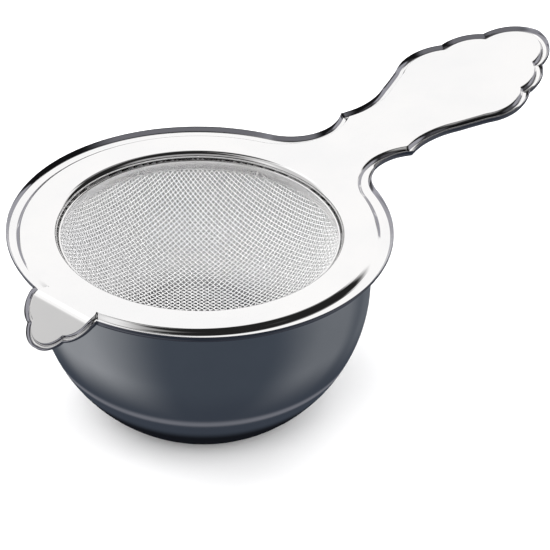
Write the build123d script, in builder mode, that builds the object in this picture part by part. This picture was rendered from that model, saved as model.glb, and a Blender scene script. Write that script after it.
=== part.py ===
"""Tea strainer with a drip bowl: a stamped strainer plate, its woven basket, the band
that clamps the basket, and the bowl that the strainer rests on.

Millimetres. +Z is up, +X runs along the handle, and the origin is the centre of the
bowl's flat foot.
"""
import os
from math import cos, radians, sin, sqrt

from build123d import *

# Driving dimensions
SHEET = 0.8            # thickness of the strainer's sheet
BOWL_SHEET = 0.9       # thickness of the bowl's sheet
TOP_Z = 43.1           # height of the strainer's flat top above the foot
REST_GAP = 0.15        # clearance between the bowl's rim and the plate on it
SEAT_X = -1.3          # the strainer sits off the bowl's centre, within its play

RING_R = 41.7          # outer radius of the ring
RING_FLAT_R = 37.8     # radius of the ring's flat top, inside its groove
LIP_W = 0.9            # width of the raised lip at the sheet's edge
LIP_DROP = 0.05        # top of the lip below the flat top
GROOVE_DEPTH = 0.95    # depth of the groove between the lip and the flat top
END_BORDER = 2.1       # lip and groove together, on the handle and the tab

COLLAR_R = 30.7        # inner radius of the collar in the hole
COLLAR_DEPTH = 4.0     # how far the collar reaches below the flat top
COLLAR_ROLL = 1.2      # radius with which the flat top rolls into the collar

CLOTH = 0.35           # thickness of the woven cloth
BAND = 0.5             # thickness of the clamping band
BAND_TOP = 1.4         # top of the band below the flat top
BAND_END = 3.7         # bottom of the band below the flat top
BASKET_DEPTH = 22.0    # outside of the basket's floor below the flat top
BASKET_FLOOR_R = 11.5  # radius of the basket's flat floor
BULGE_R = 24.3         # radius of the basket's side where it bulges most
BULGE_RISE = 6.5       # height of that place above the floor
HEM_TUCK = 0.5         # the cloth's top edge below the band's
HEM_SHOW = 0.4         # straight cloth left below the band

BOWL_R = 36.2          # outer radius of the bowl's round wall
BOWL_CENTRE_Z = 30.3   # height of that round's centre
FOOT_ROUND = 1.6       # radius where the wall turns into the foot

HANDLE_TIP_X = 108.6   # end of the handle
HANDLE_BEND_X = 62.0   # where the handle begins to rise
HANDLE_BEND_R = 300.0  # radius of that rise
HANDLE_RISE_DEG = 10.0 # turn of the rise, enough to pass the handle's tip
TAB_BEND_X = 40.0      # where the rest tab begins to bend down
TAB_BEND_R = 4.0       # radius of that bend, at the top surface
TAB_DROP_DEG = 38.0    # slope of the tab past its bend
TAB_END_X = 50.2       # end of the tab
TAB_RUN = 12.0         # length of its slope, enough to pass the tab's end
ARM_ROOT_X = 30.0      # the handle and the tab start inside the ring from here
REACH = 20.0           # how far cutting shapes reach past the plate


def side_line(depth):
    """The plate's side view, from the tab's end to past the handle's tip, at a depth
    below the top surface: a straight drop, a bend, a flat run and a gentle rise."""
    drop = radians(TAB_DROP_DEG)
    tab_r = TAB_BEND_R - depth
    tab_end = Vector(-TAB_BEND_X - tab_r * sin(drop), TOP_Z - TAB_BEND_R + tab_r * cos(drop))
    tab_low = tab_end + Vector(-cos(drop), -sin(drop)) * TAB_RUN
    rise_r = HANDLE_BEND_R + depth
    rise = radians(HANDLE_RISE_DEG)
    Line(tab_low, tab_end)
    CenterArc((-TAB_BEND_X, TOP_Z - TAB_BEND_R), tab_r, 90 + TAB_DROP_DEG, -TAB_DROP_DEG)
    Line((-TAB_BEND_X, TOP_Z - depth), (HANDLE_BEND_X, TOP_Z - depth))
    CenterArc((HANDLE_BEND_X, TOP_Z + HANDLE_BEND_R), rise_r, 270, HANDLE_RISE_DEG)
    return tab_low, Vector(HANDLE_BEND_X + rise_r * sin(rise),
                           TOP_Z + HANDLE_BEND_R - rise_r * cos(rise))


def side_band(top, bottom):
    """A layer of the plate, between two depths, as wide as the plate needs."""
    with BuildPart(mode=Mode.PRIVATE) as layer:
        with BuildSketch(Plane.XZ):
            with BuildLine():
                tab_top, tip_top = side_line(top)
                tab_bottom, tip_bottom = side_line(bottom)
                Line(tab_top, tab_bottom)
                Line(tip_top, tip_bottom)
            make_face()
        extrude(amount=RING_R + REACH, both=True)
    return layer.part


# Plan of the scalloped handle and the rest tab, which run into the ring
with BuildSketch() as arms:
    with BuildLine():
        ThreePointArc((38.6, 16.0), (46.0, 9.3), (55.8, 11.0))
        ThreePointArc((55.8, 11.0), (62.0, 9.9), (70.0, 11.6))
        Line((70.0, 11.6), (77.0, 14.2))
        ThreePointArc((77.0, 14.2), (84.0, 16.0), (91.0, 13.4))
        ThreePointArc((91.0, 13.4), (96.4, 12.1), (100.0, 8.9))
        ThreePointArc((100.0, 8.9), (106.3, 5.4), (HANDLE_TIP_X, 0.0))
        Line((HANDLE_TIP_X, 0.0), (ARM_ROOT_X, 0.0))
        Line((ARM_ROOT_X, 0.0), (38.6, 16.0))
    make_face()
    with BuildLine():
        ThreePointArc((-40.6, 9.3), (-44.2, 8.6), (-47.0, 5.2))
        ThreePointArc((-47.0, 5.2), (-49.3, 3.3), (-TAB_END_X, 0.0))
        Line((-TAB_END_X, 0.0), (-ARM_ROOT_X, 0.0))
        Line((-ARM_ROOT_X, 0.0), (-40.6, 9.3))
    make_face()
    mirror(about=Plane.XZ)

# Outline of the whole plate, of the inner side of its lip, and of its flat top
with BuildSketch() as outline:
    Circle(RING_R)
    add(arms.sketch)

with BuildSketch() as lip_outline:
    add(outline.sketch)
    offset(amount=-LIP_W)

with BuildSketch() as flat_outline:
    add(arms.sketch)
    offset(amount=-END_BORDER)
    Circle(RING_FLAT_R)

# Hollow under the flat top, as the sheet's underside follows its face
with BuildSketch() as hollow_outline:
    add(flat_outline.sketch)
    offset(amount=-SHEET)


def layer(sketch, top, bottom):
    """The part of a side band that lies inside a plan outline."""
    with BuildPart(mode=Mode.PRIVATE) as piece:
        with BuildSketch(Plane.XY.offset(TOP_Z - REACH)):
            add(sketch)
        extrude(amount=2 * REACH)
        add(side_band(top, bottom), mode=Mode.INTERSECT)
    return piece.part


# Strainer plate: groove sheet, raised lip and raised top as layers of one stamping, with
# the hole's collar turned down
COLLAR_OUT = COLLAR_R + SHEET
with BuildPart() as strainer_plate:
    add(layer(outline.sketch, GROOVE_DEPTH, GROOVE_DEPTH + SHEET))
    add(layer(outline.sketch - lip_outline.sketch, LIP_DROP, GROOVE_DEPTH + SHEET))
    add(layer(flat_outline.sketch, 0, GROOVE_DEPTH + SHEET))
    add(layer(hollow_outline.sketch, SHEET, 2 * GROOVE_DEPTH + SHEET), mode=Mode.SUBTRACT)
    with BuildSketch(Plane.XY.offset(TOP_Z)):
        Circle(COLLAR_OUT + COLLAR_ROLL)
    extrude(amount=COLLAR_DEPTH, both=True, mode=Mode.SUBTRACT)
    with BuildSketch(Plane.XZ):
        with BuildLine():
            Line((COLLAR_R, TOP_Z - COLLAR_DEPTH), (COLLAR_R, TOP_Z - COLLAR_ROLL))
            CenterArc((COLLAR_R + COLLAR_ROLL, TOP_Z - COLLAR_ROLL), COLLAR_ROLL, 90, 90)
            Line((COLLAR_R + COLLAR_ROLL, TOP_Z), (COLLAR_OUT + COLLAR_ROLL, TOP_Z))
            Line((COLLAR_OUT + COLLAR_ROLL, TOP_Z), (COLLAR_OUT + COLLAR_ROLL, TOP_Z - SHEET))
            Line((COLLAR_OUT + COLLAR_ROLL, TOP_Z - SHEET), (COLLAR_OUT, TOP_Z - SHEET))
            Line((COLLAR_OUT, TOP_Z - SHEET), (COLLAR_OUT, TOP_Z - COLLAR_DEPTH))
            Line((COLLAR_OUT, TOP_Z - COLLAR_DEPTH), (COLLAR_R, TOP_Z - COLLAR_DEPTH))
        make_face()
    revolve(axis=Axis.Z)

# Mesh basket: the cloth's hem behind the band, its bulging side and its flat floor
HEM_TOP_Z = TOP_Z - BAND_TOP - HEM_TUCK
HEM_END_Z = TOP_Z - BAND_END - HEM_SHOW
BASKET_FLOOR_Z = TOP_Z - BASKET_DEPTH
BULGE = Vector(BULGE_R, BASKET_FLOOR_Z + BULGE_RISE)
INWARD = Vector(-0.7, 0.7) * CLOTH   # from the cloth's outside to its inside, at the bulge
with BuildPart() as mesh_basket:
    with BuildSketch(Plane.XZ):
        with BuildLine():
            hem_in = COLLAR_R - CLOTH
            Line((COLLAR_R, HEM_TOP_Z), (COLLAR_R, HEM_END_Z))
            ThreePointArc((COLLAR_R, HEM_END_Z), BULGE, (BASKET_FLOOR_R, BASKET_FLOOR_Z))
            Line((BASKET_FLOOR_R, BASKET_FLOOR_Z), (0, BASKET_FLOOR_Z))
            Line((0, BASKET_FLOOR_Z), (0, BASKET_FLOOR_Z + CLOTH))
            Line((0, BASKET_FLOOR_Z + CLOTH), (BASKET_FLOOR_R, BASKET_FLOOR_Z + CLOTH))
            ThreePointArc((BASKET_FLOOR_R, BASKET_FLOOR_Z + CLOTH), BULGE + INWARD,
                          (hem_in, HEM_END_Z))
            Line((hem_in, HEM_END_Z), (hem_in, HEM_TOP_Z))
            Line((hem_in, HEM_TOP_Z), (COLLAR_R, HEM_TOP_Z))
        make_face()
    revolve(axis=Axis.Z)

# Clamp band: a plain ring pressed in over the hem
BAND_OUT = COLLAR_R - CLOTH
with BuildPart() as clamp_band:
    with BuildSketch(Plane.XY.offset(TOP_Z - BAND_END)):
        Circle(BAND_OUT)
        Circle(BAND_OUT - BAND, mode=Mode.SUBTRACT)
    extrude(amount=BAND_END - BAND_TOP)
    fillet(clamp_band.edges().group_by(Axis.Z)[-1].sort_by(SortBy.RADIUS)[0], BAND * 0.6)

# Drip bowl: one round wall from the rim to a flat foot
RIM_Z = TOP_Z - SHEET - REST_GAP
BOWL_IN_R = BOWL_R - BOWL_SHEET


def round_r(radius, z):
    """Radius of the bowl's round wall at a height."""
    return sqrt(radius ** 2 - (z - BOWL_CENTRE_Z) ** 2)


with BuildPart() as drip_bowl:
    with BuildSketch(Plane.XZ):
        with BuildLine():
            foot = (round_r(BOWL_R, 0), 0)
            floor = (round_r(BOWL_IN_R, BOWL_SHEET), BOWL_SHEET)
            rim_out = (round_r(BOWL_R, RIM_Z), RIM_Z)
            rim_in = (round_r(BOWL_IN_R, RIM_Z), RIM_Z)
            Line((0, 0), foot)
            ThreePointArc(foot, (BOWL_R, BOWL_CENTRE_Z), rim_out)
            Line(rim_out, rim_in)
            ThreePointArc(rim_in, (BOWL_IN_R, BOWL_CENTRE_Z), floor)
            Line(floor, (0, BOWL_SHEET))
            Line((0, BOWL_SHEET), (0, 0))
        make_face()
    revolve(axis=Axis.Z)
    rings = drip_bowl.edges().filter_by(GeomType.CIRCLE)
    fillet(rings.group_by(Axis.Z)[0], FOOT_ROUND)
    rings = drip_bowl.edges().filter_by(GeomType.CIRCLE)
    fillet(rings.group_by(Axis.Z)[-1], BOWL_SHEET * 0.4)

os.makedirs("parts", exist_ok=True)

drip_bowl.part.label = "drip_bowl"
export_step(drip_bowl.part, "parts/drip_bowl.step")

seat = Location((SEAT_X, 0, 0))
plate = strainer_plate.part.moved(seat)
plate.label = "strainer_plate"
export_step(plate, "parts/strainer_plate.step")

basket = mesh_basket.part.moved(seat)
basket.label = "mesh_basket"
export_step(basket, "parts/mesh_basket.step")

band = clamp_band.part.moved(seat)
band.label = "clamp_band"
export_step(band, "parts/clamp_band.step")
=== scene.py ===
"""A polished steel tea strainer resting on its drip bowl, on a pale studio floor."""
import math

import bmesh
import bpy
from mathutils import Matrix, Vector


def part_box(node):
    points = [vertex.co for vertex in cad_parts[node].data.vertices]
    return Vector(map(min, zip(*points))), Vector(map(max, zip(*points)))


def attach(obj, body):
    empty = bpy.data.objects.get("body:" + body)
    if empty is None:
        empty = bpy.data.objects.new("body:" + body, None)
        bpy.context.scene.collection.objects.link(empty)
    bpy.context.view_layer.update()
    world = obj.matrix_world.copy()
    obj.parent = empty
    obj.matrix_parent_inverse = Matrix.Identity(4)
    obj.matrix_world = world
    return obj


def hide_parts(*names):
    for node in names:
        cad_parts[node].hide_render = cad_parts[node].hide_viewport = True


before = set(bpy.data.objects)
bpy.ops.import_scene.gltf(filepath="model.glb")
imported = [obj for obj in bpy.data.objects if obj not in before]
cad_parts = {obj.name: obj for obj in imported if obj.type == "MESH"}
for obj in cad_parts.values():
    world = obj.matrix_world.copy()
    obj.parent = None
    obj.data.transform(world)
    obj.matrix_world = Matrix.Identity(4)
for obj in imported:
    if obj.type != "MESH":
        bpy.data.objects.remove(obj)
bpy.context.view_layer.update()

# ---------------------------------------------------------------------------------------
# Camera: a long lens, looking down at the strainer from the handle's near side, with the
# ring to the left and the handle running away to the upper right.
# ---------------------------------------------------------------------------------------
MM = 0.001
RIM_BELOW_TOP = 0.95 * MM                     # bowl's rim below the strainer's flat top
VIEW_AZIMUTH = math.radians(-46.7)
VIEW_ELEVATION = math.radians(33.35)
VIEW_ROLL = math.radians(0.95)
VIEW_DISTANCE = 1.5
VIEW_WIDTH = 118.2 * MM                       # width of the view at the ring
RING_LEFT = 16.2 * MM                         # ring's centre, left of the view's centre
RING_ABOVE = 9.8 * MM                         # ring's centre, above the view's centre
VIEW_REACH = 20                               # metres that the camera sees

band_low, band_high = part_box("clamp_band")
bowl_low, bowl_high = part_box("drip_bowl")
ring_x = (band_low.x + band_high.x) / 2
top_z = bowl_high.z + RIM_BELOW_TOP
ring_centre = Vector((ring_x, 0, top_z))

view_back = Vector((math.sin(VIEW_AZIMUTH) * math.cos(VIEW_ELEVATION),
                    -math.cos(VIEW_AZIMUTH) * math.cos(VIEW_ELEVATION),
                    math.sin(VIEW_ELEVATION)))
level_right = Vector((math.cos(VIEW_AZIMUTH), math.sin(VIEW_AZIMUTH), 0))
view_right = Matrix.Rotation(VIEW_ROLL, 3, view_back) @ level_right
view_up = view_back.cross(view_right)

camera = bpy.data.objects.new("camera", bpy.data.cameras.new("camera"))
bpy.context.scene.collection.objects.link(camera)
bpy.context.scene.camera = camera
camera.data.lens = camera.data.sensor_width * VIEW_DISTANCE / VIEW_WIDTH
camera.data.clip_end = VIEW_REACH
place = ring_centre + view_back * VIEW_DISTANCE + view_right * RING_LEFT - view_up * RING_ABOVE
facing = Matrix((view_right, view_up, view_back)).transposed()
camera.matrix_world = Matrix.Translation(place) @ facing.to_4x4()

# ---------------------------------------------------------------------------------------
# Strainer plate: one steel sheet, blanked and pressed in a die, then mirror-polished. Its
# raised flat top drops into a groove, the groove runs up into a lip all round the edge,
# and the hole's lip is turned down into a collar that holds the basket.
# ---------------------------------------------------------------------------------------
RING_R = 41.7
RING_FLAT_R = 37.8
COLLAR_R = 30.7
COLLAR_DEPTH = 4.0
COLLAR_ROLL = 1.2
COLLAR_UNDER_ROLL = 0.4                       # the roll's radius on the sheet's underside
COLLAR_RUN = 0.5                              # flat sheet beyond the roll
COLLAR_EDGE = 0.25                            # how far the collar's cut edge is rounded
COLLAR_EDGE_LONG, COLLAR_EDGE_SHORT = 0.08, 0.06      # middle of that round
SHEET = 0.8
HANDLE_BEND_X = 62.0
HANDLE_BEND_R = 300.0
TAB_BEND_X = -40.0
TAB_BEND_R = 4.0
TAB_DROP = math.radians(38)

# Half outline from the handle's tip round to the tab's tip. Each row is a corner of the
# edge and the middle of the arc that leaves it, the same two points of the flat top, and
# the number of steps along the arc.
OUTLINE = (
    ((108.45, 0.0), (106.2, 5.4), (106.4, 0.0), (104.7, 4.0), 26),
    ((100.0, 8.9), (96.4, 12.1), (98.8, 6.9), (95.4, 10.3), 22),
    ((91.0, 13.4), (84.0, 16.0), (90.3, 11.2), (83.9, 13.9), 32),
    ((77.0, 14.2), (73.5, 12.85), (77.9, 12.3), (74.3, 10.95), 10),
    ((70.0, 11.6), (62.0, 9.9), (70.8, 9.65), (62.0, 7.8), 26),
    ((55.8, 11.0), (46.0, 9.3), (56.1, 8.7), (45.0, 7.0), 40),
    ((38.6, 16.0), (0.0, RING_R), (35.0, 14.3), (0.0, RING_FLAT_R), 170),
    ((-40.6, 9.3), (-44.2, 8.6), (-38.3, 6.9), (-43.4, 7.4), 20),
    ((-46.9, 5.2), (-49.1, 3.3), (-45.9, 4.4), (-48.1, 2.6), 22))
TAB_TIP = (-49.95, 0.0), (-48.8, 0.0)


def arc(start, mid, end, steps):
    """Points of the arc from start through mid to end, end left out."""
    a, b, c = Vector(start), Vector(mid), Vector(end)
    u, v = b - a, c - a
    area = 2 * (u.x * v.y - u.y * v.x)
    centre = a + Vector((v.y * u.length_squared - u.y * v.length_squared,
                         u.x * v.length_squared - v.x * u.length_squared)) / area
    first, last = a - centre, c - centre
    sweep = math.atan2(first.x * last.y - first.y * last.x, first.dot(last))
    if sweep * area < 0:
        sweep += math.copysign(2 * math.pi, area)
    return [centre + Matrix.Rotation(sweep * i / steps, 2) @ first for i in range(steps)]


edge_half, flat_half = [], []
for i, (corner, mid, flat_corner, flat_mid, steps) in enumerate(OUTLINE):
    after = OUTLINE[i + 1] if i + 1 < len(OUTLINE) else (TAB_TIP[0], None, TAB_TIP[1])
    edge_half += arc(corner, mid, after[0], steps)
    flat_half += arc(flat_corner, flat_mid, after[2], steps)
edge_half.append(Vector(TAB_TIP[0]))
flat_half.append(Vector(TAB_TIP[1]))
edge_line = edge_half + [Vector((p.x, -p.y)) for p in reversed(edge_half[1:-1])]
flat_line = flat_half + [Vector((p.x, -p.y)) for p in reversed(flat_half[1:-1])]

# Section across the border, from the flat top over the lip and back under the sheet:
# distance in from the edge, then a share of the way from the lip to the flat top, height
LIP_W = 0.95
SECTION = (
    (LIP_W, 1.22, 0.0), (LIP_W, 1.07, 0.0), (LIP_W, 1.0, -0.01), (LIP_W, 0.95, -0.06),
    (LIP_W, 0.9, -0.15), (LIP_W, 0.75, -0.55), (LIP_W, 0.62, -0.9), (LIP_W, 0.58, -0.98),
    (LIP_W, 0.52, -1.03), (LIP_W, 0.44, -1.05), (LIP_W, 0.25, -1.04), (LIP_W, 0.0, -1.02),
    (0.8, 0.0, -0.98), (0.74, 0.0, -0.93), (0.68, 0.0, -0.85), (0.56, 0.0, -0.67),
    (0.44, 0.0, -0.49), (0.32, 0.0, -0.31), (0.21, 0.0, -0.15), (0.16, 0.0, -0.09),
    (0.11, 0.0, -0.06), (0.05, 0.0, -0.06), (0.01, 0.0, -0.1), (0.0, 0.0, -0.16),
    (0.0, 0.0, -0.6), (0.03, 0.0, -0.72), (0.1, 0.0, -0.86), (0.22, 0.0, -1.05),
    (0.5, 0.0, -1.46), (LIP_W, 0.0, -1.78), (LIP_W, 0.34, -1.8), (LIP_W, 0.56, -1.76),
    (LIP_W, 0.72, -1.36), (LIP_W, 0.92, -0.94), (LIP_W, 1.0, -SHEET), (LIP_W, 1.22, -SHEET))
LIP_ROWS = range(13, 29)                      # rows of SECTION on the lip, painted darker as shade
COLLAR_STEPS = 240
HANDLE_CUT, HANDLE_CUTS = 2, 23               # spacing and number of the cuts for each bend
TAB_CUT, TAB_CUTS = 0.2, 15
BEND_CUTS = ([HANDLE_BEND_X + HANDLE_CUT * k for k in range(HANDLE_CUTS)]
             + [TAB_BEND_X - TAB_CUT * k for k in range(TAB_CUTS)])
JOIN = 1e-5                                   # points nearer than this, in mm, become one
JOIN_SHEET = 1e-3                             # the same where the flat sheets meet the rims
JOIN_FINISHED = 1e-7                          # the same in metres, on a finished mesh
CUT_SNAP = 1e-4
TOP_RIMS_ABOVE = -0.01                        # open edges above this bound the flat top


def border_point(edge, flat, inset, share, height):
    """A point of the border's section, on the line from the edge to the flat top."""
    run = flat - edge
    reach = min(inset, 0.5 * run.length) + share * max(run.length - LIP_W, 0.5 * run.length)
    at = edge + run.normalized() * reach
    return Vector((at.x, at.y, height))


def bent(at):
    """A point of the flat pressing, carried to its place on the bent handle and tab."""
    x, y, h = at
    if x > HANDLE_BEND_X:
        rise = math.asin((x - HANDLE_BEND_X) / HANDLE_BEND_R)
        return Vector((x - h * math.sin(rise), y,
                       HANDLE_BEND_R * (1 - math.cos(rise)) + h * math.cos(rise)))
    if x < TAB_BEND_X:
        straight_x = TAB_BEND_X - TAB_BEND_R * math.sin(TAB_DROP)
        drop = math.asin(min((TAB_BEND_X - x) / TAB_BEND_R, math.sin(TAB_DROP)))
        z = -TAB_BEND_R * (1 - math.cos(drop)) - max(straight_x - x, 0) * math.tan(TAB_DROP)
        return Vector((x - h * math.sin(drop), y, z + h * math.cos(drop)))
    return Vector((x, y, h))


def finish_mesh(bm, name, body, node):
    """Merges and smooths the mesh and makes it the piece that replaces a CAD node."""
    bmesh.ops.remove_doubles(bm, verts=bm.verts, dist=JOIN_FINISHED)
    bmesh.ops.recalc_face_normals(bm, faces=bm.faces)
    for face in bm.faces:
        face.smooth = True
    data = bpy.data.meshes.new(name)
    bm.to_mesh(data)
    bm.free()
    piece = bpy.data.objects.new(name, data)
    bpy.context.scene.collection.objects.link(piece)
    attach(piece, body)
    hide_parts(node)
    return piece


def border_loop(inset, share, height):
    """The points of one line of the section, all round the plate."""
    return [border_point(e, f, inset, share, height) for e, f in zip(edge_line, flat_line)]


bm = bmesh.new()
rim_mark = bm.verts.layers.float.new("rim")
around = [bm.verts.new(p) for p in border_loop(*SECTION[0])]
edges = [bm.edges.new((v, around[i - 1])) for i, v in enumerate(around)]
for i, row in enumerate(SECTION[1:], 1):
    target = {v.co.to_tuple(6): p for v, p in zip(around, border_loop(*row))}
    grown = bmesh.ops.extrude_edge_only(bm, edges=edges)["geom"]
    fresh = {v.co.to_tuple(6): v for v in grown if isinstance(v, bmesh.types.BMVert)}
    around = [fresh[key] for key in target]
    edges = [e for e in grown if isinstance(e, bmesh.types.BMEdge) and e.is_boundary
             and set(e.verts) <= set(around)]
    for v, p in zip(around, target.values()):
        v.co = p
        v[rim_mark] = 1.0 if i in LIP_ROWS else 0.0

roll_in = [(COLLAR_R + COLLAR_ROLL * (1 - math.sin(a)), COLLAR_ROLL * (math.cos(a) - 1))
           for a in (math.radians(9 * k) for k in range(11))]
roll_out = [(COLLAR_R + SHEET + COLLAR_UNDER_ROLL * (1 - math.sin(a)),
             -SHEET - COLLAR_UNDER_ROLL * (1 - math.cos(a)))
            for a in (math.radians(18 * k) for k in range(5, -1, -1))]
cut_edge = [(COLLAR_R, -COLLAR_DEPTH + COLLAR_EDGE),
            (COLLAR_R + COLLAR_EDGE_LONG, -COLLAR_DEPTH + COLLAR_EDGE_SHORT),
            (COLLAR_R + COLLAR_EDGE, -COLLAR_DEPTH),
            (COLLAR_R + SHEET - COLLAR_EDGE, -COLLAR_DEPTH),
            (COLLAR_R + SHEET - COLLAR_EDGE_SHORT, -COLLAR_DEPTH + COLLAR_EDGE_LONG)]
collar = ([(COLLAR_R + COLLAR_ROLL + COLLAR_RUN, 0.0)] + roll_in + cut_edge
          + roll_out + [(COLLAR_R + COLLAR_ROLL + COLLAR_RUN, -SHEET)])
verts = [bm.verts.new((r, 0, z)) for r, z in collar]
wire = [bm.edges.new(pair) for pair in zip(verts, verts[1:])]
bmesh.ops.spin(bm, geom=verts + wire, cent=(0, 0, 0), axis=(0, 0, 1), angle=2 * math.pi,
               steps=COLLAR_STEPS, use_merge=True)
bmesh.ops.remove_doubles(bm, verts=bm.verts, dist=JOIN)

rims = [e for e in bm.edges
        if e.is_boundary and all(v.co.z > TOP_RIMS_ABOVE for v in e.verts)]
filled = bmesh.ops.triangle_fill(bm, use_beauty=True, edges=rims, normal=(0, 0, 1))
sheet = [g for g in filled["geom"] if isinstance(g, bmesh.types.BMFace)]
under = bmesh.ops.duplicate(bm, geom=sheet)
under = [g for g in under["geom"] if isinstance(g, bmesh.types.BMVert)]
bmesh.ops.translate(bm, vec=(0, 0, -SHEET), verts=under)
bmesh.ops.remove_doubles(bm, verts=bm.verts, dist=JOIN_SHEET)
for x in BEND_CUTS:
    bmesh.ops.bisect_plane(bm, geom=bm.verts[:] + bm.edges[:] + bm.faces[:],
                           dist=CUT_SNAP, plane_co=(x, 0, 0), plane_no=(1, 0, 0))
for v in bm.verts:
    v.co = bent(v.co)
bmesh.ops.scale(bm, vec=(MM, MM, MM), verts=bm.verts)
bmesh.ops.translate(bm, vec=ring_centre, verts=bm.verts)
plate = finish_mesh(bm, "plate", "strainer", "strainer_plate")


class Socket:
    """A shader socket: arithmetic on it adds Math nodes, and add() adds any other node."""

    def __init__(self, tree, out=None):
        self.tree = tree
        self.out = out

    def add(self, kind, settings=None, sockets=None, output=0):
        """Makes a node, gives it its settings and then its sockets' values or links."""
        made = self.tree.nodes.new(kind)
        for name, value in (settings or {}).items():
            setattr(made, name, value)
        for name, value in (sockets or {}).items():
            if isinstance(value, Socket):
                self.tree.links.new(value.out, made.inputs[name])
            else:
                made.inputs[name].default_value = value
        return Socket(self.tree, made.outputs[output] if made.outputs else None)

    def maths(self, operation, *values):
        """Adds a Math node on sockets and numbers."""
        return self.add("ShaderNodeMath", {"operation": operation}, dict(enumerate(values)))

    def __add__(self, other):
        return self.maths("ADD", self, other)

    def __sub__(self, other):
        return self.maths("SUBTRACT", self, other)

    def __rsub__(self, other):
        return self.maths("SUBTRACT", other, self)

    def __mul__(self, other):
        return self.maths("MULTIPLY", self, other)

    __radd__ = __add__
    __rmul__ = __mul__

    def smooth(self, low, high, at_low=0.0, at_high=1.0):
        """Goes smoothly from at_low to at_high as the socket goes from low to high."""
        return self.add("ShaderNodeMapRange", {"interpolation_type": "SMOOTHSTEP"},
                        {"Value": self, "From Min": low, "From Max": high,
                         "To Min": at_low, "To Max": at_high})


CLOUD_SCALE = 55.0
RUB_SCALE = 900.0


def steel(name, tone, shade, roughness, wave, grain, grain_scale, metallic=1.0):
    """A steel: tone with patches of shade, uneven polish, soft waves and fine grain."""
    made = bpy.data.materials.new(name)
    made.use_nodes = True
    made.node_tree.nodes.clear()
    start = Socket(made.node_tree)
    where = start.add("ShaderNodeTexCoord", output=3)
    cloud = start.add("ShaderNodeTexNoise", {},
                      {"Vector": where, "Scale": CLOUD_SCALE, "Detail": 4.0, "Roughness": 0.55})
    brushed = start.add("ShaderNodeMapping", {}, {"Vector": where, "Scale": grain_scale})
    lines = start.add("ShaderNodeTexNoise", {},
                      {"Vector": brushed, "Scale": 1.0, "Detail": 5.0, "Roughness": 0.7})
    rub = start.add("ShaderNodeTexNoise", {},
                    {"Vector": where, "Scale": RUB_SCALE, "Detail": 3.0, "Roughness": 0.6})
    patches = cloud.smooth(0.35, 0.7)
    colour = start.add("ShaderNodeMix", {"data_type": "RGBA"},
                       {0: patches, 6: (*tone, 1.0), 7: (*shade, 1.0)}, output=2)
    polish = patches * (0.35 * roughness) + lines * (0.5 * roughness) + 0.55 * roughness
    height = cloud * wave + lines * grain + rub * (0.3 * grain)
    bump = start.add("ShaderNodeBump", {},
                     {"Strength": 1.0, "Distance": 1.0, "Height": height})
    shader = start.add("ShaderNodeBsdfPrincipled", {},
                       {"Base Color": colour, "Metallic": metallic, "Roughness": polish,
                        "Normal": bump})
    start.add("ShaderNodeOutputMaterial", {}, {"Surface": shader})
    return made


PLATE_STEEL = steel("mirror_steel", (0.79, 0.785, 0.785), (0.76, 0.76, 0.765), 0.06,
                    1.2e-6, 4e-8, (260.0, 2200.0, 900.0))
# Painted shade: the lip is painted darker than the flat top, standing in for the dark that the
# lip reflects.
LIP_PAINTED_SHADE = (0.31, 0.31, 0.345, 1.0)


def recolour(material, factor, other):
    """Mixes other into what already feeds a material's colour, by a factor of 0 to 1."""
    tree = material.node_tree
    shader = next(n for n in tree.nodes if n.type == "BSDF_PRINCIPLED")
    clean = Socket(tree, shader.inputs["Base Color"].links[0].from_socket)
    mixed = clean.add("ShaderNodeMix", {"data_type": "RGBA"}, {0: factor, 6: clean, 7: other},
                      output=2)
    tree.links.new(mixed.out, shader.inputs["Base Color"])


# The lip, marked by the rim attribute, gets the painted shade.
on_lip = Socket(PLATE_STEEL.node_tree).add("ShaderNodeAttribute", {"attribute_name": "rim"},
                                           output=2)
recolour(PLATE_STEEL, on_lip, LIP_PAINTED_SHADE)
plate.data.materials.append(PLATE_STEEL)

# ---------------------------------------------------------------------------------------
# Clamp band: a hoop of thin steel strip, pressed into the collar over the basket's hem.
# It holds the wire cloth by spring and friction alone.
# ---------------------------------------------------------------------------------------
BAND_IN, BAND_OUT = 29.85, 30.35
BAND_TOP, BAND_END = -1.4, -3.7
BAND_EDGE = 0.2
SPIN_STEPS = 180


def spun(profile, steps, closed):
    """A bmesh of a profile of (radius, height) in millimetres, spun about the ring's axis."""
    bm = bmesh.new()
    verts = [bm.verts.new((r, 0, z)) for r, z in profile]
    pairs = list(zip(verts, verts[1:])) + ([(verts[-1], verts[0])] if closed else [])
    edges = [bm.edges.new(pair) for pair in pairs]
    bmesh.ops.spin(bm, geom=verts + edges, cent=(0, 0, 0), axis=(0, 0, 1),
                   angle=2 * math.pi, steps=steps, use_merge=True)
    bmesh.ops.remove_doubles(bm, verts=bm.verts, dist=JOIN)
    return bm


def placed(bm, centre):
    """Brings a bmesh in millimetres to metres, with its zero at centre."""
    bmesh.ops.scale(bm, vec=(MM, MM, MM), verts=bm.verts)
    bmesh.ops.translate(bm, vec=centre, verts=bm.verts)
    return bm


def corner(x, z, radius, start, steps=5):
    """A quarter round about (x, z), from the angle start in degrees, anticlockwise."""
    angles = [math.radians(start + 90 * k / steps) for k in range(steps + 1)]
    return [(x + radius * math.cos(a), z + radius * math.sin(a)) for a in angles]


band_profile = (corner(BAND_OUT - BAND_EDGE, BAND_TOP - BAND_EDGE, BAND_EDGE, 0)
                + corner(BAND_IN + BAND_EDGE, BAND_TOP - BAND_EDGE, BAND_EDGE, 90)
                + corner(BAND_IN + BAND_EDGE, BAND_END + BAND_EDGE, BAND_EDGE, 180)
                + corner(BAND_OUT - BAND_EDGE, BAND_END + BAND_EDGE, BAND_EDGE, 270))
bm = placed(spun(band_profile, SPIN_STEPS, closed=True), ring_centre)
band = finish_mesh(bm, "band", "strainer", "clamp_band")
band.data.materials.append(PLATE_STEEL)

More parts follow.
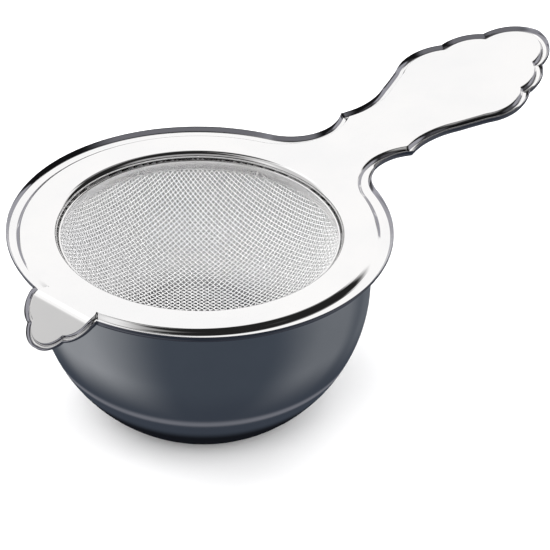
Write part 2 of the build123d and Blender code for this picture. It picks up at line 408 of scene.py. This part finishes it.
# ---------------------------------------------------------------------------------------
# Basket: a disc of plain-woven stainless wire cloth, deep-drawn to a round basket with a
# flat floor. Warp and weft pass over and under each other, and follow the drawn shape.
# ---------------------------------------------------------------------------------------
WIRE_PITCH = 0.9
WIRE_R = 0.115
WEAVE_RISE = 0.11
WIRES_EACH_SIDE = 46
BASKET_FLOOR = -21.7
BASKET_FLOOR_R = 9.8
HEEL_MIDDLE = (11.3, BASKET_FLOOR + 0.3)      # the round from the floor into the wall
HEEL_END = (12.7, BASKET_FLOOR + 1.0)
BULGE = (24.5, -14.6)                         # a point half way up the drawn wall
HEM_R = 30.5
HEM_LOW, HEM_TOP = -4.1, -1.95

meridian = ([Vector((BASKET_FLOOR_R * k / 4, BASKET_FLOOR)) for k in range(4)]
            + arc((BASKET_FLOOR_R, BASKET_FLOOR), HEEL_MIDDLE, HEEL_END, 8)
            + arc(HEEL_END, BULGE, (HEM_R, HEM_LOW), 40)
            + [Vector((HEM_R, HEM_LOW)), Vector((HEM_R, HEM_TOP))])
drawn = [0.0]
for a, b in zip(meridian, meridian[1:]):
    drawn.append(drawn[-1] + (b - a).length)
BLANK_R = drawn[-1]


def on_basket(x, y, over):
    """A point of the flat cloth, carried to its place on the drawn basket."""
    blank = math.hypot(x, y)
    k = next((i for i, s in enumerate(drawn[1:]) if s >= blank), len(drawn) - 2)
    a, b = meridian[k], meridian[k + 1]
    along = (b - a).normalized()
    at = a + along * (blank - drawn[k]) + Vector((-along.y, along.x)) * over
    turned = math.atan2(y, x)
    return Vector((at.x * math.cos(turned), at.x * math.sin(turned), at.y))


def woven(name, across):
    """One direction's wires of the basket: across is 0 for the warp and 1 for the weft."""
    bm = bmesh.new()
    bmesh.ops.create_grid(bm, x_segments=2 * WIRES_EACH_SIDE, y_segments=2 * WIRES_EACH_SIDE,
                          size=WIRES_EACH_SIDE * WIRE_PITCH)
    ties = [e for e in bm.edges
            if abs(e.verts[0].co[across] - e.verts[1].co[across]) > WIRE_PITCH / 2]
    bmesh.ops.delete(bm, geom=ties, context="EDGES_FACES")
    cut_off = [v for v in bm.verts if v.co.xy.length > BLANK_R]
    bmesh.ops.delete(bm, geom=cut_off, context="VERTS")
    for v in bm.verts:
        crossing = round(v.co.x / WIRE_PITCH) + round(v.co.y / WIRE_PITCH) + across
        over = WEAVE_RISE if crossing % 2 else -WEAVE_RISE
        v.co = on_basket(v.co.x, v.co.y, over)
    placed(bm, ring_centre)
    data = bpy.data.meshes.new(name)
    bm.to_mesh(data)
    bm.free()
    piece = bpy.data.objects.new(name, data)
    bpy.context.scene.collection.objects.link(piece)
    bpy.ops.object.select_all(action="DESELECT")
    piece.select_set(True)
    bpy.context.view_layer.objects.active = piece
    bpy.ops.object.convert(target="CURVE")
    piece.data.bevel_depth = WIRE_R * MM
    piece.data.bevel_resolution = 1
    piece.data.use_fill_caps = True
    bpy.ops.object.convert(target="MESH")
    for face in piece.data.polygons:
        face.use_smooth = True
    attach(piece, "strainer")
    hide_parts("mesh_basket")
    return piece


WIRE_STEEL = steel("wire_steel", (0.93, 0.925, 0.92), (0.86, 0.86, 0.87), 0.3,
                   0.0, 1e-7, (1500.0, 1500.0, 1500.0), metallic=0.3)
for name, across in (("warp", 0), ("weft", 1)):
    wires = woven(name, across)
    wires.data.materials.clear()
    wires.data.materials.append(WIRE_STEEL)

# ---------------------------------------------------------------------------------------
# Drip bowl: one steel sheet, spun to part of a ball with a flat foot and a rounded rim,
# polished outside and satin inside, with painted shade darkening the inside towards the
# bottom. The strainer rests on its rim, held only by its weight.
# ---------------------------------------------------------------------------------------
BOWL_R = 36.2
BOWL_CENTRE_Z = 30.3
BOWL_SHEET = 0.9
BOWL_RIM_Z = 42.15
FOOT_ROUND = 1.6
FOOT_RECESS = 0.35
FOOT_SLOPE = ((4.0, 1.0), (3.2, 0.85), (2.4, 0.15), (1.6, 0.0))   # way in, share of recess
INSIDE_SLOPE = ((4.0, FOOT_RECESS), (2.6, 0.1), (1.6, 0.0))       # way in, rise of the floor
RIM_ROUND = 0.36
BOWL_STEPS = 220


def ball_arc(radius, low_z, high_z, steps):
    """Points of the bowl's ball, from one height to another."""
    first = math.asin((low_z - BOWL_CENTRE_Z) / radius)
    last = math.asin((high_z - BOWL_CENTRE_Z) / radius)
    angles = [first + (last - first) * k / steps for k in range(steps + 1)]
    return [(radius * math.cos(a), BOWL_CENTRE_Z + radius * math.sin(a)) for a in angles]


def foot_arc(radius, floor_z, fillet, steps=10):
    """The round between a floor and the bowl's ball, from the floor outwards."""
    reach = radius - fillet
    drop = BOWL_CENTRE_Z - floor_z - fillet
    middle = math.sqrt(reach * reach - drop * drop)
    last = math.atan2(-drop, middle)
    angles = [-math.pi / 2 + (last + math.pi / 2) * k / steps for k in range(steps + 1)]
    return [(middle + fillet * math.cos(a), floor_z + fillet * (1 + math.sin(a)))
            for a in angles]


outer_foot = foot_arc(BOWL_R, 0.0, FOOT_ROUND)
inner_foot = foot_arc(BOWL_R - BOWL_SHEET, BOWL_SHEET, FOOT_ROUND)
outer_wall = ball_arc(BOWL_R, outer_foot[-1][1], BOWL_RIM_Z - RIM_ROUND, 60)
inner_wall = ball_arc(BOWL_R - BOWL_SHEET, inner_foot[-1][1], BOWL_RIM_Z - RIM_ROUND, 60)
rim_in, rim_out = inner_wall[-1][0], outer_wall[-1][0]
bowl_rim = [(rim_out - RIM_ROUND * (1 - math.cos(a)),
             BOWL_RIM_Z - RIM_ROUND * (1 - math.sin(a)))
            for a in (math.radians(18 * k) for k in range(1, 6))]
bowl_rim += [(rim_in + RIM_ROUND * (1 - math.cos(a)),
              BOWL_RIM_Z - RIM_ROUND * (1 - math.sin(a)))
             for a in (math.radians(18 * k) for k in range(5, 0, -1))]
foot_r = outer_foot[0][0]
underside = [(0.0, FOOT_RECESS)] + [(foot_r - inset, share * FOOT_RECESS)
                                    for inset, share in FOOT_SLOPE]
inside_floor = [(0.0, BOWL_SHEET + FOOT_RECESS)] + [(foot_r - inset, BOWL_SHEET + lift)
                                                    for inset, lift in INSIDE_SLOPE]
bowl_profile = (underside + outer_foot + outer_wall[1:] + bowl_rim
                + list(reversed(inside_floor + inner_foot + inner_wall[1:])))
bm = placed(spun(bowl_profile, BOWL_STEPS, closed=False), (0, 0, 0))
bowl = finish_mesh(bm, "bowl", "bowl", "drip_bowl")
BOWL_STEEL = steel("spun_steel", (0.76, 0.765, 0.775), (0.71, 0.72, 0.73), 0.1,
                   1.5e-6, 5e-8, (120.0, 120.0, 2600.0))
bowl.data.materials.append(BOWL_STEEL)
INSIDE_STEEL = steel("satin_steel", (0.9, 0.9, 0.9), (0.84, 0.84, 0.85), 0.35,
                     1.0e-6, 1e-7, (200.0, 200.0, 2600.0), metallic=0.3)
# Painted shade: the inside of the bowl is painted dark towards the bottom, where shade falls
# under the basket.
BOTTOM_PAINTED_SHADE = (0.05, 0.052, 0.06, 1.0)
PAINTED_SHADE_FADES = 6 * MM, 14 * MM                 # heights between which the painted shade fades out
start = Socket(INSIDE_STEEL.node_tree)
height = start.add("ShaderNodeSeparateXYZ", {},
                   {"Vector": start.add("ShaderNodeTexCoord", output=3)}, output=2)
recolour(INSIDE_STEEL, height.smooth(*PAINTED_SHADE_FADES, 1, 0), BOTTOM_PAINTED_SHADE)
bowl.data.materials.append(INSIDE_STEEL)
ball_centre = Vector((0, 0, BOWL_CENTRE_Z * MM))
for face in bowl.data.polygons:
    looks_in = face.normal.dot(ball_centre - face.center) > 0
    if looks_in and face.center.z > 0.5 * BOWL_SHEET * MM:
        face.material_index = 1

# ---------------------------------------------------------------------------------------
# Studio: a pale floor with a curved wall, a tall white softbox behind the strainer that
# dims to its left, dim lights overhead and to the rear, and slate below the horizon.
# ---------------------------------------------------------------------------------------
FLOOR_R = 3.6
WALL_ROUND = 0.8
WALL_TOP = 3.2
FLOOR_STEPS = 96

sweep = ([(0.0, 0.0), (FLOOR_R / 2, 0.0)]
         + [(FLOOR_R + WALL_ROUND * math.sin(a), WALL_ROUND * (1 - math.cos(a)))
            for a in (math.radians(10 * k) for k in range(10))]
         + [(FLOOR_R + WALL_ROUND, WALL_TOP)])
bm = spun(sweep, FLOOR_STEPS, closed=False)
bmesh.ops.recalc_face_normals(bm, faces=bm.faces)
for face in bm.faces:
    face.smooth = True
data = bpy.data.meshes.new("floor")
bm.to_mesh(data)
bm.free()
floor = bpy.data.objects.new("floor", data)
bpy.context.scene.collection.objects.link(floor)
floor.visible_glossy = False
floor.visible_shadow = False

paint = bpy.data.materials.new("floor_paint")
paint.use_nodes = True
paint.node_tree.nodes.clear()
start = Socket(paint.node_tree)
where = start.add("ShaderNodeTexCoord", output=3)
cloud = start.add("ShaderNodeTexNoise", {}, {"Vector": where, "Scale": 3.0, "Detail": 3.0})
colour = start.add("ShaderNodeMix", {"data_type": "RGBA"},
                   {0: cloud, 6: (0.86, 0.86, 0.86, 1.0), 7: (0.84, 0.84, 0.845, 1.0)},
                   output=2)
shader = start.add("ShaderNodeBsdfPrincipled", {},
                   {"Base Color": colour, "Roughness": 0.9, "Specular IOR Level": 0.1})
start.add("ShaderNodeOutputMaterial", {}, {"Surface": shader})
floor.data.materials.append(paint)

# A glowing card under the bowl, seen only in the steel, is a painted reflection of the floor:
# a painted shadow in the middle, then slate, with a painted highlight ring, and fading to
# nothing at its edge. Each pair is the start and end of a change.
CARD_R = 60 * MM
CARD_LIFT = 0.05 * MM
CARD_SHADOW_TO_SLATE = 24 * MM, 28 * MM
CARD_LIT_RING_STARTS = 30.5 * MM, 32 * MM
CARD_LIT_RING_ENDS = 32.3 * MM, 34.5 * MM
CARD_FADES = 33 * MM, 0.95 * CARD_R
bm = bmesh.new()
bmesh.ops.create_circle(bm, cap_ends=True, segments=128, radius=CARD_R)
bmesh.ops.translate(bm, vec=(0, 0, CARD_LIFT), verts=bm.verts)
data = bpy.data.meshes.new("underlay")
bm.to_mesh(data)
bm.free()
underlay = bpy.data.objects.new("underlay", data)
bpy.context.scene.collection.objects.link(underlay)
underlay.visible_camera = False
underlay.visible_diffuse = False
underlay.visible_shadow = False
painted_reflection_paint = bpy.data.materials.new("painted_reflection_glow")
painted_reflection_paint.use_nodes = True
painted_reflection_paint.node_tree.nodes.clear()
start = Socket(painted_reflection_paint.node_tree)
where = start.add("ShaderNodeTexCoord", output=3)
from_middle = start.add("ShaderNodeVectorMath", {"operation": "LENGTH"}, {0: where}, output=1)
beyond = from_middle.smooth(*CARD_SHADOW_TO_SLATE)
painted_lit_ring = from_middle.smooth(*CARD_LIT_RING_STARTS) * from_middle.smooth(*CARD_LIT_RING_ENDS, 1, 0)
# Painted shadow near black in the middle, painted slate floor, and a painted highlight ring of
# lit floor.
blend = start.add("ShaderNodeMix", {"data_type": "RGBA"},
                  {0: beyond, 6: (0.008, 0.009, 0.012, 1.0), 7: (0.05, 0.06, 0.08, 1.0)},
                  output=2)
blend = start.add("ShaderNodeMix", {"data_type": "RGBA"},
                  {0: painted_lit_ring, 6: blend, 7: (0.2, 0.205, 0.235, 1.0)}, output=2)
painted_glow = start.add("ShaderNodeEmission", {}, {"Color": blend, "Strength": 1.0})
clear = start.add("ShaderNodeBsdfTransparent")
faded = start.add("ShaderNodeMixShader", {},
                  {0: from_middle.smooth(*CARD_FADES), 1: painted_glow, 2: clear})
start.add("ShaderNodeOutputMaterial", {}, {"Surface": faded})
underlay.data.materials.append(painted_reflection_paint)

# The surroundings, by direction in degrees: rise is above the horizon, and turn is to the
# right of straight behind the strainer. Each pair is the start and end of a change.
SOFTBOX_FOOT, SOFTBOX_TOP = (2, 8), (46, 54)
SOFTBOX_RIGHT, SOFTBOX_LEFT = (48, 62), (-150, -120)
SOFTBOX_DIMS, SOFTBOX_DIMMED = (-82, -68), 0.6
TOP_FALL, TOP_FALL_ENDS = 0.3, 20.0           # the top edge falls to the right, up to a turn
OVERHEAD_FOOT, OVERHEAD_TOP, OVERHEAD_SIDES = (46, 52), (60, 66), (40, 60)
REAR_FOOT, REAR_TOP, REAR_SIDES = (12, 22), (44, 52), (105, 130)
HORIZON = -4, 1
SOFTBOX_LIGHT, OVERHEAD_LIGHT, REAR_LIGHT, ROOM_LIGHT = 1.2, 0.26, 0.45, 0.02
LEFT_GLOW, LEFT_GLOW_STARTS, LEFT_GLOW_ENDS = 0.27, (-160, -90), (-60, -30)
RIGHT_GLOW, RIGHT_GLOW_STARTS, RIGHT_GLOW_ENDS = 0.12, (40, 65), (85, 135)
FAR_GLOW, FAR_GLOW_ENDS = 0.07, (30, 60)
WARM_WHITE = (1.0, 0.995, 0.99, 1.0)
SLATE = (0.064, 0.077, 0.099, 1.0)

far = -view_back.xy.normalized()
side = level_right.xy
sky = bpy.data.worlds.new("studio")
sky.use_nodes = True
sky.node_tree.nodes.clear()
bpy.context.scene.world = sky
start = Socket(sky.node_tree)
heading = start.add("ShaderNodeTexCoord", output=0)
unit = start.add("ShaderNodeVectorMath", {"operation": "NORMALIZE"}, {0: heading})
parts = start.add("ShaderNodeSeparateXYZ", {}, {"Vector": unit})
x, y, z = (Socket(sky.node_tree, parts.out.node.outputs[i]) for i in range(3))
ahead = x * far.x + y * far.y
aside = x * side.x + y * side.y
turn = start.maths("ARCTAN2", aside, ahead) * (180 / math.pi)
rise = start.maths("ARCSINE", z) * (180 / math.pi)
behind = start.maths("ABSOLUTE", turn)
tilt = start.maths("MINIMUM", turn, TOP_FALL_ENDS) * TOP_FALL
top_edge = (rise + tilt).smooth(*SOFTBOX_TOP, 1, 0)
softbox = top_edge * rise.smooth(*SOFTBOX_FOOT) * turn.smooth(*SOFTBOX_RIGHT, 1, 0)
softbox = softbox * (turn.smooth(*SOFTBOX_DIMS, SOFTBOX_DIMMED, 1.0)
                     * turn.smooth(*SOFTBOX_LEFT))
overhead = (rise.smooth(*OVERHEAD_FOOT) * rise.smooth(*OVERHEAD_TOP, 1, 0)
            * behind.smooth(*OVERHEAD_SIDES, 1, 0))
rear = rise.smooth(*REAR_FOOT) * rise.smooth(*REAR_TOP, 1, 0) * behind.smooth(*REAR_SIDES)
above = rise.smooth(*HORIZON)
light = (softbox * SOFTBOX_LIGHT + overhead * OVERHEAD_LIGHT + rear * REAR_LIGHT
         + above * ROOM_LIGHT)
left_glow = (turn.smooth(*LEFT_GLOW_STARTS, 0.0, LEFT_GLOW)
             * turn.smooth(*LEFT_GLOW_ENDS, 1, 0))
right_glow = (turn.smooth(*RIGHT_GLOW_ENDS, RIGHT_GLOW, 0.0)
              * turn.smooth(*RIGHT_GLOW_STARTS))
light = light + (1 - above) * (left_glow + right_glow)
light = light + (1 - above) * behind.smooth(*FAR_GLOW_ENDS, FAR_GLOW, 0.0)
glow = start.add("ShaderNodeBackground", {}, {"Color": WARM_WHITE, "Strength": light})
slate = start.add("ShaderNodeBackground", {}, {"Color": SLATE, "Strength": 1.0 - above})
sum_of = start.add("ShaderNodeAddShader", {}, {0: glow, 1: slate})
start.add("ShaderNodeOutputWorld", {}, {"Surface": sum_of})


def lamp(name, size, watts, at, aim):
    """A soft square light that lights the floor, and that the steel does not mirror."""
    data = bpy.data.lights.new(name, "AREA")
    data.size = size
    data.energy = watts
    made = bpy.data.objects.new(name, data)
    made.location = at
    made.rotation_euler = (Vector(aim) - Vector(at)).to_track_quat("-Z", "Y").to_euler()
    made.visible_glossy = False
    made.visible_camera = False
    bpy.context.scene.collection.objects.link(made)


OVERHEAD_SIZE, OVERHEAD_WATTS, OVERHEAD_HEIGHT = 3.0, 45, 2.6
FILL_SIZE, FILL_WATTS, FILL_HEIGHT = 2.2, 42, 1.5
FILL_DISTANCE, FILL_TURN = 2.2, 20
lamp("overhead", OVERHEAD_SIZE, OVERHEAD_WATTS, (0.0, 0.0, OVERHEAD_HEIGHT), (0, 0, 0))
for turned in range(4):
    bearing = math.radians(90 * turned + FILL_TURN)
    lamp(f"fill_{turned}", FILL_SIZE, FILL_WATTS,
         (FILL_DISTANCE * math.cos(bearing), FILL_DISTANCE * math.sin(bearing), FILL_HEIGHT),
         (0, 0, 0))
bpy.context.scene.view_settings.view_transform = "Standard"
